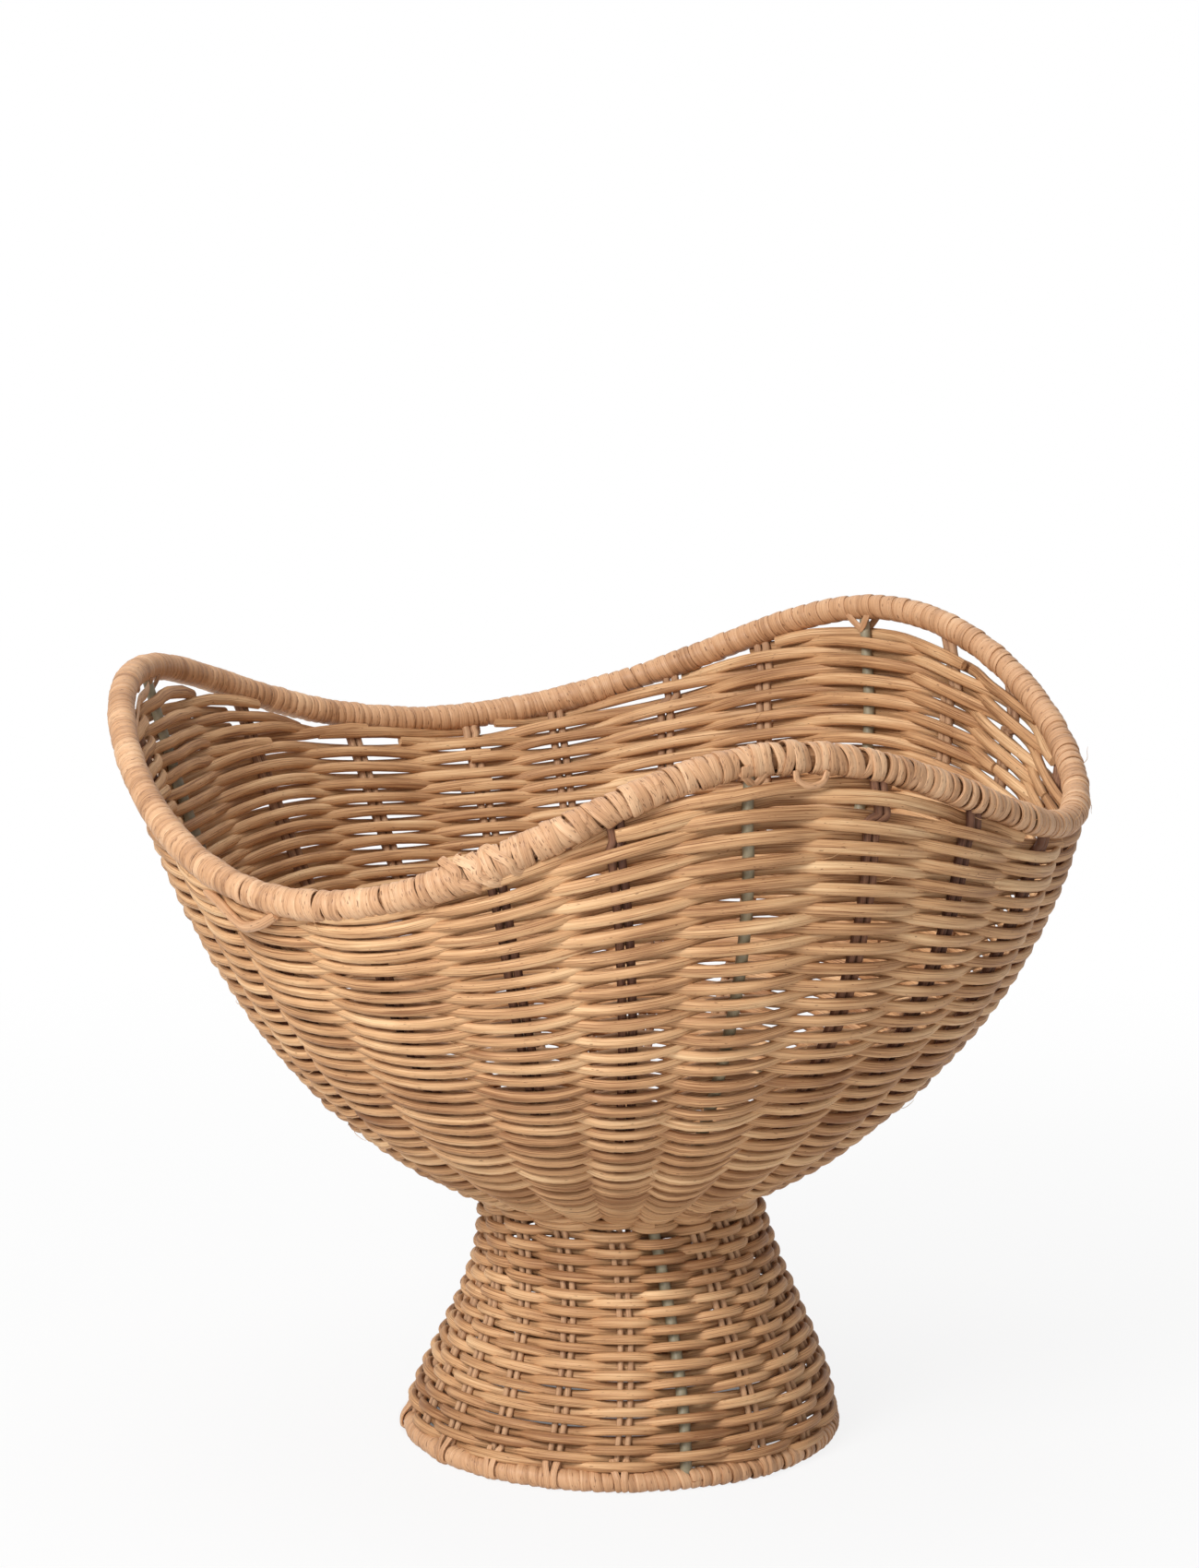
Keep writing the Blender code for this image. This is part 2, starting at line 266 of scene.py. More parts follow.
class Bundle:
    # Strands gathered into one mesh, with the grain and the tone that their finish reads
    def __init__(self):
        self.spots, self.faces, self.grains, self.tones, self.wears = [], [], [], [], []
        self.count = 0

    def strand(self, path, across, away, width, depth, tone, offset=0.0, sides=10, wear=0.0, power=1.0):
        # A rod along a path: width is measured across it and depth away from the wall.
        # A power under 1 gives it flatter faces.
        steps = len(path)
        width = np.broadcast_to(width, steps).copy()
        depth = np.broadcast_to(depth, steps).copy()
        turn = math.tau * (np.arange(sides) + 0.5) / sides
        swell = np.sign(np.sin(turn)) * np.abs(np.sin(turn)) ** power
        ring = (across[:, None, :] * (width[:, None] / 2 * np.cos(turn))[..., None]
                + away[:, None, :] * (depth[:, None] / 2 * swell)[..., None])
        # the cut ends are slightly rounded
        ring[0] *= endShare
        ring[-1] *= endShare
        spots = path[:, None, :] + ring
        length = np.concatenate([[0], np.cumsum(np.linalg.norm(np.diff(path, axis=0), axis=1))])
        grain = np.zeros((steps, sides, 3))
        grain[..., 0] = (length / mm + offset)[:, None]
        grain[..., 1] = np.cos(turn)
        grain[..., 2] = np.sin(turn)
        row = np.arange(steps - 1)[:, None] * sides
        side = np.arange(sides)[None, :]
        after = (side + 1) % sides
        quads = np.stack([row + side, row + after, row + sides + after, row + sides + side], -1)
        self.faces += (quads.reshape(-1, 4) + self.count).tolist()
        self.faces.append((np.arange(sides)[::-1] + self.count).tolist())
        self.faces.append((np.arange(sides) + self.count + (steps - 1) * sides).tolist())
        self.spots.append(spots.reshape(-1, 3))
        self.grains.append(grain.reshape(-1, 3))
        self.tones.append(np.repeat(np.broadcast_to(tone, steps), sides))
        self.wears.append(np.repeat(np.broadcast_to(wear, steps), sides))
        self.count += steps * sides

    def settle(self):
        # What stands on the floor is pressed flat against it
        for spots in self.spots:
            spots[:, 2] = np.maximum(spots[:, 2], 0.0)

    def piece(self, name, slot, *replaced):
        mesh = bpy.data.meshes.new(name)
        mesh.from_pydata(np.concatenate(self.spots).tolist(), [], self.faces)
        grain = mesh.attributes.new("grain", "FLOAT_VECTOR", "POINT")
        grain.data.foreach_set("vector", np.concatenate(self.grains).astype(np.float32).ravel())
        for title, values in (("tone", self.tones), ("wear", self.wears)):
            kept = mesh.attributes.new(title, "FLOAT", "POINT")
            kept.data.foreach_set("value", np.concatenate(values).astype(np.float32))
        mesh.shade_smooth()
        mesh.set_sharp_from_angle(angle=sharpAngle)
        mesh.materials.append(finishes[slot])
        thing = bpy.data.objects.new(name, mesh)
        bpy.context.scene.collection.objects.link(thing)
        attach(thing, "root")
        if replaced:
            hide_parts(*replaced)


# Camera and light

camera = {
    "place": (0.56 * mm, -1962.38 * mm, 623.2 * mm),
    "pitch": 0.1700966,
    "lens": 120.83,
    "sensor": 36.0,
    "shift": -0.0613,
}
eye = bpy.data.cameras.new("camera")
eye.lens, eye.sensor_width, eye.shift_y = camera["lens"], camera["sensor"], camera["shift"]
eyeThing = bpy.data.objects.new("camera", eye)
eyeThing.location = camera["place"]
eyeThing.rotation_euler = (math.pi / 2 - camera["pitch"], 0.0, 0.0)
bpy.context.scene.collection.objects.link(eyeThing)
bpy.context.scene.camera = eyeThing
bpy.context.scene.view_settings.view_transform = "Standard"


class Signal:
    # A socket that shader maths is written with
    def __init__(self, finish, socket):
        self.finish, self.socket = finish, socket

    def maths(self, operation, first, second):
        return self.finish.node("Math", {"operation": operation}, {0: first, 1: second})

    def __add__(self, other):
        return self.maths("ADD", self, other)

    def __sub__(self, other):
        return self.maths("SUBTRACT", self, other)

    def __rsub__(self, other):
        return self.maths("SUBTRACT", other, self)

    def __mul__(self, other):
        return self.maths("MULTIPLY", self, other)

    __radd__ = __add__
    __rmul__ = __mul__


class Finish:
    # A material and its nodes
    def __init__(self, name):
        self.material = bpy.data.materials.new(name)
        self.material.use_nodes = True
        self.tree = self.material.node_tree
        self.shader = self.tree.nodes["Principled BSDF"]

    def feed(self, socket, value):
        if isinstance(value, Signal):
            self.tree.links.new(value.socket, socket)
        else:
            socket.default_value = value

    def node(self, kind, settings=None, sockets=None, output=0):
        made = self.tree.nodes.new("ShaderNode" + kind)
        for setting, value in (settings or {}).items():
            if setting == "stops":
                stops = made.color_ramp.elements
                for index, (position, colour) in enumerate(value):
                    stop = stops[index] if index < 2 else stops.new(position)
                    stop.position, stop.color = position, colour
            else:
                setattr(made, setting, value)
        for socket, value in (sockets or {}).items():
            self.feed(made.inputs[socket], value)
        return Signal(self, made.outputs[output])

    def finish(self, sockets):
        for socket, value in sockets.items():
            self.feed(self.shader.inputs[socket], value)
        return self.material


def ranged(finish, value, start, end, low, high):
    return finish.node("MapRange", {}, {"Value": value, "From Min": start, "From Max": end,
                                        "To Min": low, "To Max": high})


def noise(finish, place, scale, detail, rough=0.5):
    return finish.node("TexNoise", {}, {"Vector": place, "Scale": scale, "Detail": detail,
                                        "Roughness": rough})


def tint(red, green, blue):
    # The linear colour of an 8-bit screen colour
    values = [value / 255 for value in (red, green, blue)]
    return tuple(value / 12.92 if value < 0.04045 else ((value + 0.055) / 1.055) ** 2.4
                 for value in values) + (1.0,)


def grey(level):
    return (level, level, level, 1.0)


studio = {
    "worldLevel": 0.28,
    # lamps: name, place, size and power
    "lamps": (("keyLamp", (-1.2, -1.75, 1.6), 1.1, 57.0), ("fillLamp", (0.2, -2.3, 0.5), 1.6, 9.0),
              ("topLamp", (-0.2, 0.5, 2.0), 1.5, 13.0)),
    "aim": (0.0, 0.0, 0.17),
    "floorReach": 60.0,
    "floorDrop": 0.05 * mm,
    "floorGrey": 0.75,
    "floorRough": 0.9,
    # where the floor's own shade shows: from and to what distance, and how much there
    "shades": ((0.12, 0.8, 0.14, 0.0), (0.07, 0.078, 0.7, 0.0)),
}


def softLamp(name, place, size, power):
    lamp = bpy.data.lights.new(name, "AREA")
    lamp.shape, lamp.size, lamp.energy = "DISK", size, power
    thing = bpy.data.objects.new(name, lamp)
    thing.location = place
    away = Vector(studio["aim"]) - Vector(place)
    thing.rotation_euler = away.to_track_quat("-Z", "Y").to_euler()
    bpy.context.scene.collection.objects.link(thing)


for lampLook in studio["lamps"]:
    softLamp(*lampLook)


def brightRays(nodes, links):
    # 1 for rays that show the background: from the camera, in gloss and through glass
    rays = nodes.new("ShaderNodeLightPath")
    total = None
    for kind in ("Is Camera Ray", "Is Glossy Ray", "Is Transmission Ray"):
        if total is None:
            total = rays.outputs[kind]
            continue
        add = nodes.new("ShaderNodeMath")
        add.operation = "MAXIMUM"
        links.new(total, add.inputs[0])
        links.new(rays.outputs[kind], add.inputs[1])
        total = add.outputs[0]
    return total


def whiteWorld():
    world = bpy.data.worlds.new("studio")
    bpy.context.scene.world = world
    world.use_nodes = True
    nodes, links = world.node_tree.nodes, world.node_tree.links
    back = nodes["Background"]
    back.inputs["Color"].default_value = grey(1.0)
    level = nodes.new("ShaderNodeMapRange")
    links.new(brightRays(nodes, links), level.inputs["Value"])
    level.inputs["To Min"].default_value = studio["worldLevel"]
    level.inputs["To Max"].default_value = 1.0
    links.new(level.outputs["Result"], back.inputs["Strength"])


def whiteFloor():
    # The floor shows white to the camera and keeps a soft shadow round the basket
    mesh = bpy.data.meshes.new("floor")
    reach = studio["floorReach"]
    mesh.from_pydata([(-reach, -reach, 0), (reach, -reach, 0), (reach, reach, 0), (-reach, reach, 0)],
                     [], [(0, 1, 2, 3)])
    floor = bpy.data.objects.new("floor", mesh)
    floor.location.z = -studio["floorDrop"]
    bpy.context.scene.collection.objects.link(floor)
    paint = Finish("floorWhite")
    spot = paint.node("TexCoord", output=3)
    distance = paint.node("VectorMath", {"operation": "LENGTH"}, {0: spot}, output=1)
    near, inside = (ranged(paint, distance, *shade) for shade in studio["shades"])
    near = near + inside
    shown = Signal(paint, brightRays(paint.tree.nodes, paint.tree.links))
    glow = paint.node("Emission", {}, {"Color": grey(1.0), "Strength": 1.0})
    paint.finish({"Base Color": grey(studio["floorGrey"]), "Roughness": studio["floorRough"]})
    matt = Signal(paint, paint.shader.outputs[0])
    mixed = paint.node("MixShader", {}, {0: shown * (1 - near), 1: matt, 2: glow})
    paint.feed(paint.tree.nodes["Material Output"].inputs["Surface"], mixed)
    mesh.materials.append(paint.material)


whiteWorld()
whiteFloor()
print("camera, lamps and floor")

# Finishes


# What all rattan shares. Each streak has its scale along and round the strand, and its detail.
rattan = {
    "broad": (0.022, 1.1, 3.0),
    "fine": (0.05, 5.5, 2.0),
    "lines": (0.03, 7.5, 1.0),
    "fleck": (0.35, 3.4, 1.0),
    "streakRough": 0.6,
    "lineSpan": (0.56, 0.68),
    "fleckSpan": 0.05,
    "wearLight": 0.12,
    "wearFleck": 0.06,
    "roughSwing": 0.35,
    "broadRelief": 0.5,
    "fleckRelief": 0.6,
}


def streaks(finish, grain, kind):
    # Noise drawn out along the strands; 0.5 in the mean
    along, around, detail = rattan[kind]
    stretched = finish.node("VectorMath", {"operation": "MULTIPLY"}, {0: grain, 1: (along, around, around)})
    return noise(finish, stretched, 1.0, detail, rattan["streakRough"])


def rattanFinish(name, look):
    finish = Finish(name)
    grain = finish.node("Attribute", {"attribute_name": "grain"}, output=1)
    tone = finish.node("Attribute", {"attribute_name": "tone"}, output=2)
    wear = finish.node("Attribute", {"attribute_name": "wear"}, output=2)
    broad = streaks(finish, grain, "broad")
    fine = streaks(finish, grain, "fine")
    lines = ranged(finish, streaks(finish, grain, "lines"), *rattan["lineSpan"], 0.0, look["lines"])
    # painted shade: each strand is darkened towards its two sides, where it lies against its neighbours;
    # look's edge sets how much
    sides = finish.node("SeparateXYZ", {}, {0: grain}, output=1)
    sides = finish.node("Math", {"operation": "ABSOLUTE"}, {0: sides})
    sides = ranged(finish, sides, look["edgeShadeFrom"], 1.0, 0.0, look["edge"])
    place = finish.node("TexCoord", output=3)
    patch = noise(finish, place, look["patchScale"], 2.0)
    # tone, wear, patches and lines are the cane's own colour; the darkening of the sides is painted shade
    level = 0.5 + (broad - 0.5) * look["broad"] + (fine - 0.5) * look["fine"]
    level = level + (patch - 0.5) * look["patch"] + tone + wear * rattan["wearLight"] - lines - sides
    stops = [(0.0, look["dark"]), (1.0, look["light"]), (0.5, look["middle"])]
    colour = finish.node("ValToRGB", {"stops": stops}, {0: level})
    fleck = streaks(finish, grain, "fleck") + wear * rattan["wearFleck"]
    start = look["fleckFrom"]
    fleck = ranged(finish, fleck, start, start + rattan["fleckSpan"], 0.0, look["fleck"])
    colour = finish.node("Mix", {"data_type": "RGBA"}, {0: fleck, 6: colour, 7: look["fleckColour"]},
                         output=2)
    height = broad * rattan["broadRelief"] + fine - fleck * rattan["fleckRelief"] - lines
    bump = finish.node("Bump", {}, {"Strength": look["bump"], "Distance": look["bumpHeight"],
                                    "Height": height})
    rough = look["rough"] + (fine - 0.5) * rattan["roughSwing"]
    return finish.finish({"Base Color": colour, "Roughness": rough, "Normal": bump,
                          "Specular IOR Level": look["specular"]})


# In each look, edge is how much painted shade darkens the sides of a strand, and the key after it says how
# far out that begins
weaverLook = {
    "dark": tint(140, 94, 58), "middle": tint(202, 155, 110), "light": tint(234, 196, 150),
    "broad": 1.1, "fine": 1.0, "patch": 0.6, "patchScale": 38.0,
    "lines": 0.5, "edge": 0.12, "edgeShadeFrom": 0.75,
    "fleck": 0.65, "fleckFrom": 0.70, "fleckColour": tint(112, 66, 34),
    "rough": 0.58, "specular": 0.35, "bump": 0.55, "bumpHeight": 0.35 * mm,
}
stakeLook = {
    "dark": tint(66, 38, 30), "middle": tint(132, 92, 68), "light": tint(200, 158, 120),
    "broad": 0.4, "fine": 0.8, "patch": 0.2, "patchScale": 60.0,
    "lines": 0.15, "edge": 0.1, "edgeShadeFrom": 0.6,
    "fleck": 0.4, "fleckFrom": 0.68, "fleckColour": tint(44, 20, 14),
    "rough": 0.62, "specular": 0.3, "bump": 0.5, "bumpHeight": 0.3 * mm,
}
peelLook = {
    "dark": tint(132, 90, 56), "middle": tint(198, 151, 111), "light": tint(228, 188, 148),
    "broad": 0.8, "fine": 0.8, "patch": 0.6, "patchScale": 55.0,
    "lines": 0.25, "edge": 0.32, "edgeShadeFrom": 0.92,
    "fleck": 0.75, "fleckFrom": 0.68, "fleckColour": tint(104, 62, 32),
    "rough": 0.5, "specular": 0.4, "bump": 0.45, "bumpHeight": 0.3 * mm,
}


steelLook = {
    "stops": ((0.3, tint(122, 112, 88)), (0.7, tint(164, 152, 124))),
    "cloudScale": 160.0, "gritScale": 900.0,
    "rough": 0.38, "cloudRough": 0.25, "bump": 0.4, "bumpHeight": 0.15 * mm,
}


def steelFinish(name, look):
    finish = Finish(name)
    place = finish.node("TexCoord", output=3)
    cloud = noise(finish, place, look["cloudScale"], 4.0)
    grit = noise(finish, place, look["gritScale"], 2.0)
    colour = finish.node("ValToRGB", {"stops": look["stops"]}, {0: cloud})
    bump = finish.node("Bump", {}, {"Strength": look["bump"], "Distance": look["bumpHeight"],
                                    "Height": grit})
    rough = look["rough"] + cloud * look["cloudRough"]
    return finish.finish({"Base Color": colour, "Roughness": rough, "Normal": bump})


finishes = {
    "weaver_rattan": rattanFinish("weaverRattan", weaverLook),
    "stake_rattan": rattanFinish("stakeRattan", stakeLook),
    "cane_peel": rattanFinish("canePeel", peelLook),
    "painted_steel": steelFinish("steelPaint", steelLook),
}
print("finishes")

# Weave

weave = {
    "seed": 7,
    "bowlRows": 56,
    "bowlBands": 14,
    "waistStations": (1.50, 1.68, 1.86),
    "footTurns": 30,
    "footBands": 5,
    # the foot's turns and the stations that they reach
    "footClimb": ((0, 0.026), (27, 0.972), (30, 1.34)),
    "turnsPerStrand": 2,
    # how far short of a rod the two ends of a row stop, in places
    "footGap": 0.04,
    "bowlGap": 0.02,
    "samplesPerPlace": 7,
    "fewestSamples": 8,
    "width": (4.15 * mm, 4.5 * mm),
    "footWidth": 3.95 * mm,
    "depth": 3.2 * mm,
    "rodReach": (0.75 * mm, 1.35 * mm),
    # how squarely rows bend: at the waist, what they lose higher up, from where and how far on
    "flatness": (0.85, 0.55, 1.6, 1.2),
    # rows swell where they stand far apart
    "nominalPitch": 3.3 * mm,
    "crowdPower": 0.4,
    "crowdRange": (0.98, 1.12),
    "crowdFrom": 0.3,
    # how much the thickness differs from row to row and along one
    "rowThickness": 0.05,
    "alongThickness": 0.03,
    "ribReach": 2.2 * mm,
    "rest": 0.05 * mm,
    "lift": 0.24 * mm,
    "stray": 0.14 * mm,
    # places from one random value of a wave to the next
    "strayKnots": 0.7,
    "thicknessKnots": 1.3,
    "toneKnots": 3.0,
    # rows crowd and spread a little: least share, the stations, and the waves
    "drift": 0.4 * mm,
    "driftSpan": (0.2, 2.2, 0.6),
    "driftWaves": ((0.6, 2, 38, 0.0), (0.4, 5, -61, 1.3)),
    "rowTone": 0.1,
    "alongTone": 0.05,
    "grainLength": 9000,
    "grainStep": 40,
    # where a strand ends inside the wall: degrees and millimetres of the cut, then the gap
    "cuts": ((-161.5, 228.9, -164.5, 198.5), (-159.1, 217.8, -163.9, 200.9)),
    # beside a cut the two ends lie apart by this share of a row, over this many places
    "cutSpread": 0.3,
    "cutReach": 0.7,
    # rows start and end behind the rods of the front wall, two places apart
    "seamPairs": (9, 16),
    # strands stop under the rim's winding, this far below its middle
    "tuck": 3.4 * mm,
    # the angle of a place under the rim is taken at this station
    "rimStation": 3.3,
    "slopeStep": 0.02,
    # the last row round the whole bowl: its cuts, and centimetres over the full rows, first by
    # degrees and then by places before its end
    "topCuts": (212.9, 208),
    "topRises": ((-147.1, 0.42), (-141, 0.2), (-132, -0.26), (-125, -0.62), (-116, -0.97), (-110, -1.16),
                 (-103, -1.36), (-96, -1.28), (-88, -1.04), (-80, -0.66), (-70, -0.25), (-58, 0.1),
                 (-45, 0.17)),
    "topEndRises": ((2, 0.18), (0, 0.06)),
    # a short strand lies under its start
    "underCuts": (196.0, 221),
    "underRises": (0.5, 0.36, 0.0),
}
bowlRing = {"angle": bowlAngle, "count": len(places["bowlTop"]), "ribs": (0, 8, 15)}
footRing = {"angle": footAngle, "count": len(places["footTop"]), "ribs": (0, 6, 12)}


def wobble(source, position, spacing=1.0):
    # A smooth random wave along a strand, with one value at each knot
    spot = (position - position[0]) / spacing
    values = source.normal(size=int(spot[-1]) + 3)
    low = spot.astype(int)
    part = spot - low
    part = smooth(part)
    return values[low] * (1 - part) + values[low + 1] * part


def grainStart(source):
    # A strand's grain starts anywhere on this length
    return source.uniform(0, weave["grainLength"])


def drift(angle, station):
    least, start, reach = weave["driftSpan"]
    share = np.clip((station - start) / reach, least, 1)
    return weave["drift"] * share * sum(size * np.sin(times * angle + climb * station + shift)
                                        for size, times, climb, shift in weave["driftWaves"])


def rowPath(place, station, phase, source, ring):
    angle = ring["angle"](place, station)
    point, along, up, out = wallFrame(angle, station)
    low, high = weave["rodReach"]
    rod = low + (high - low) * np.clip(station - footTop, 0, 1)
    rib = np.isin(np.round(place).astype(int) % ring["count"], ring["ribs"])
    reach = np.where(rib, weave["ribReach"], rod) + weave["rest"] + weave["depth"] / 2
    # 1 where the row passes in front of a rod, -1 where it passes behind the next
    most, loss, start, over = weave["flatness"]
    flatness = most - loss * np.clip((station - start) / over, 0, 1)
    plain = np.cos(math.pi * place)
    swing = plain * (1 - flatness) + np.sin(math.pi / 2 * plain) * flatness
    offset = phase * reach * swing + weave["stray"] * wobble(source, place, weave["strayKnots"])
    lift = weave["lift"] * wobble(source, place) + drift(angle, station)
    return point + up * lift[:, None] + out * offset[:, None], out


def weaveRow(bundle, start, end, station, phase, source, ring, width):
    # station is one value, or a function of the place
    count = max(int((end - start) * weave["samplesPerPlace"]) + 1, weave["fewestSamples"])
    place = np.linspace(start, end, count)
    level = station(place) if callable(station) else np.full(count, station)
    path, out = rowPath(place, level, phase, source, ring)
    across, away = sidesOf(path, out)
    thick = 1 + weave["rowThickness"] * source.normal()
    thick = thick + weave["alongThickness"] * wobble(source, place, weave["thicknessKnots"])
    if ring is bowlRing:
        thick = thick * crowding(place, level)
    tone = weave["rowTone"] * source.normal()
    tone = tone + weave["alongTone"] * wobble(source, place, weave["toneKnots"])
    offset = grainStart(source)
    shown = rimTop(ring["angle"](place, level)) - path[:, 2] > weave["tuck"]
    for run in np.split(np.arange(count), np.flatnonzero(np.diff(shown)) + 1):
        if shown[run[0]] and len(run) > 5:
            bundle.strand(path[run], across[run], away[run], width * thick[run],
                          weave["depth"] * thick[run], tone[run],
                          offset=offset + weave["grainStep"] * run[0])


def crowding(place, station):
    # How much wider a row shows where the rows stand far apart
    angle = bowlAngle(place, station)
    share = np.clip(station - bendTop, weave["crowdFrom"], 1)
    step = 0.5 / weave["bowlRows"]
    rise = bowlPoint(angle, rowHeight(angle, share)) - bowlPoint(angle, rowHeight(angle, share - step))
    pitch = 2 * np.linalg.norm(rise, axis=-1)
    return np.clip((pitch / weave["nominalPitch"]) ** weave["crowdPower"], *weave["crowdRange"])


def endPlace(degrees):
    # The place of an angle, one turn on from a start to the left of the front
    return bowlPlace(degrees - 360) + bowlRing["count"]


def hiddenPlace(source, phase):
    # A place in the front wall where a row of this phase passes on the inner side
    return 2 * int(source.integers(*weave["seamPairs"])) + (0 if phase < 0 else 1)


def weaveFoot(source):
    # One weaver climbs round and round; with an odd number of places each turn alternates
    turns, levels = np.array(weave["footClimb"]).T
    total = weave["footTurns"] * footRing["count"]
    perBand = weave["footTurns"] // weave["footBands"]

    def climb(place):
        return np.interp(place / footRing["count"], turns, levels)

    for band in range(weave["footBands"]):
        bundle = Bundle()
        for turn in range(band * perBand, (band + 1) * perBand, weave["turnsPerStrand"]):
            start = turn * footRing["count"]
            end = start + weave["turnsPerStrand"] * footRing["count"]
            # strands meet on the inner side, behind the nearest odd place
            start, end = start + (1 - start % 2) + weave["footGap"], end + (1 - end % 2) - weave["footGap"]
            start, end = max(start, 0.0), min(end, total)
            weaveRow(bundle, start, end, climb, 1, source, footRing, weave["footWidth"])
        bundle.piece(f"footWeave{band + 1}", "weaver_rattan", f"foot_weave_{band + 1}")


def rowSeam(station, phase, source):
    # Where a full row starts and ends: at a cut seen in the photograph, or behind a rod
    share = max(station - bendTop, 0)
    for degrees, height, start, end in weave["cuts"]:
        angle = np.array(math.radians(degrees))
        level = rowHeight(angle, share)
        step = rowHeight(angle, share + 0.5 / weave["bowlRows"]) - level
        inner = phase * math.cos(math.pi * round(bowlPlace(degrees))) < 0
        if inner and abs(level - height * mm) <= 2 * step:
            return bowlPlace(start), endPlace(end), weave["cutSpread"] / weave["bowlRows"]
    start = hiddenPlace(source, phase)
    return start + weave["bowlGap"], start + bowlRing["count"] - weave["bowlGap"], 0.0


def weaveBowl(source):
    bundles = [Bundle() for band in range(weave["bowlBands"])]
    stations = [(station, 0) for station in weave["waistStations"]]
    for index in range(weave["bowlRows"]):
        stations.append((bendTop + (index + 0.5) / weave["bowlRows"],
                         index * weave["bowlBands"] // weave["bowlRows"]))
    for row, (station, band) in enumerate(stations):
        phase = 1 if row % 2 else -1
        start, end, apart = rowSeam(station, phase, source)
        low, high = weave["width"]
        width = low + (high - low) * min(max(station - bendTop, 0), 1)

        def level(place):
            reach = weave["cutReach"]
            return station + apart * (np.exp((start - place) / reach) - np.exp((place - end) / reach))

        weaveRow(bundles[band], start, end, level, phase, source, bowlRing, width)
    for band, bundle in enumerate(bundles):
        if band == weave["bowlBands"] - 1:
            topRow(bundle, -phase, source)
        bundle.piece(f"bowlWeave{band + 1}", "weaver_rattan", f"bowl_weave_{band + 1}")
    return phase


def overRows(place, rise):
    # The station that lies this many centimetres over the full rows, as if they had no dip
    angle = bowlAngle(place, np.full(len(place), weave["rimStation"]))
    over = rise * centimetre + dip(angle)
    slope = (rowHeight(angle, 1.0) - rowHeight(angle, 1 - weave["slopeStep"])) / weave["slopeStep"]
    return bowlTop + np.where(over > 0, over / centimetre, over / slope)


def topRow(bundle, phase, source):
    start, end = weave["topCuts"]
    first, last = bowlPlace(start - 360), endPlace(end)
    knots = [bowlPlace(degrees) for degrees, rise in weave["topRises"]]
    knots += [last - before for before, rise in weave["topEndRises"]]
    rises = [rise for spot, rise in weave["topRises"] + weave["topEndRises"]]

    def level(place):
        return overRows(place, np.interp(place, knots, rises))

    weaveRow(bundle, first, last, level, phase, source, bowlRing, weave["width"][1])
    first, last = (bowlPlace(degrees - 360) for degrees in weave["underCuts"])
    bends = np.polyfit((first, first + 0.5 * (last - first), last), weave["underRises"], 2)

    def underLevel(place):
        return overRows(place, np.polyval(bends, place))

    weaveRow(bundle, first, last, underLevel, phase, source, bowlRing, weave["width"][1])


weaveFoot(np.random.default_rng(weave["seed"]))
lastPhase = weaveBowl(np.random.default_rng(weave["seed"] + 1))
print("rows of the foot and the bowl")

# Short rows under the rim's high points: degrees at the rim and millimetres over the full rows

shortRows = {
    "seed": 21,
    "width": 4.7 * mm,
    "curveOrder": 4,
    "rows": (
        (((3, 4.6), (12, 4.4), (21, 5.4), (30.3, 8.2), (42.8, 7.9), (51.6, 7.0), (60, 5.0)),
         ((-2.3, 4.4), (5, 7.4), (12.6, 8.4), (21, 9.4), (30.5, 12.0), (39.2, 14.4))),
        (((92, 5.5), (105, 6.0), (120, 5.0), (137, 5.0), (155, 5.4), (178, 6.4), (194.2, 5.6)),
         ((96, 9.5), (108, 10.4), (122, 9.0), (137, 8.6), (157, 9.2), (168, 9.6)),
         ((104, 14.0), (113, 13.6), (124, 12.2), (137, 12.0), (148, 12.6), (157.5, 13.4)),
         ((119.2, 15.4), (128, 15.7), (137, 15.6), (146, 15.4), (152.4, 14.6))),
        (((231.5, -7.2), (239.7, -11.4), (246, -15.0), (257, -16.4), (270, -14.8), (281, -9.6)),
         ((238, -13.0), (245.4, -16.6), (257, -18.9), (267, -17.6), (274, -14.6)),
         ((218, 2.8), (228.5, -0.1), (233.9, -2.2), (245.5, -8.8), (257, -11.0), (270, -8.8), (293, 0.4)),
         ((236, -1.2), (243, -4.4), (254.5, -7.8), (264.5, -7.5), (280, -1.2)),
         ((223.3, 3.2), (229.2, 3.4), (234, 2.0), (245.8, -2.6), (257, -4.5), (270, -2.2), (289, 2.8)),
         ((236, 4.7), (243.9, 2.2), (255.8, -0.8), (264, -0.6), (279, 4.2)),
         ((231.1, 7.4), (236, 7.2), (243, 5.8), (257, 3.2), (270, 5.4), (282, 6.8)),
         ((243.5, 8.5), (250.8, 8.5), (258.2, 7.3), (264, 6.8), (272, 7.8))),
    ),
}


def fillPeaks():
    source = np.random.default_rng(shortRows["seed"])
    for rib, rows in enumerate(shortRows["rows"]):
        bundle = Bundle()
        for index, knots in enumerate(rows):
            angles, rises = (np.array(side) for side in zip(*knots))
            angles = np.where(angles < 200, angles, angles - 360)

            def level(place):
                # a smooth bow near the knots
                centre = angles.mean()
                order = min(shortRows["curveOrder"], len(rises) - 1)
                curve = np.polyfit(angles - centre, rises / 10, order)
                angle = np.degrees(bowlAngle(place, np.full(len(place), weave["rimStation"])))
                return overRows(place, np.polyval(curve, angle - centre))

            phase = lastPhase if index % 2 == 0 else -lastPhase
            weaveRow(bundle, bowlPlace(angles[0]), bowlPlace(angles[-1]), level, phase, source,
                     bowlRing, shortRows["width"])
        bundle.piece(f"peakFill{rib + 1}", "weaver_rattan", f"peak_fill_{rib + 1}")


fillPeaks()
print("short rows")

# Rods that stand in pairs, and the steel ribs

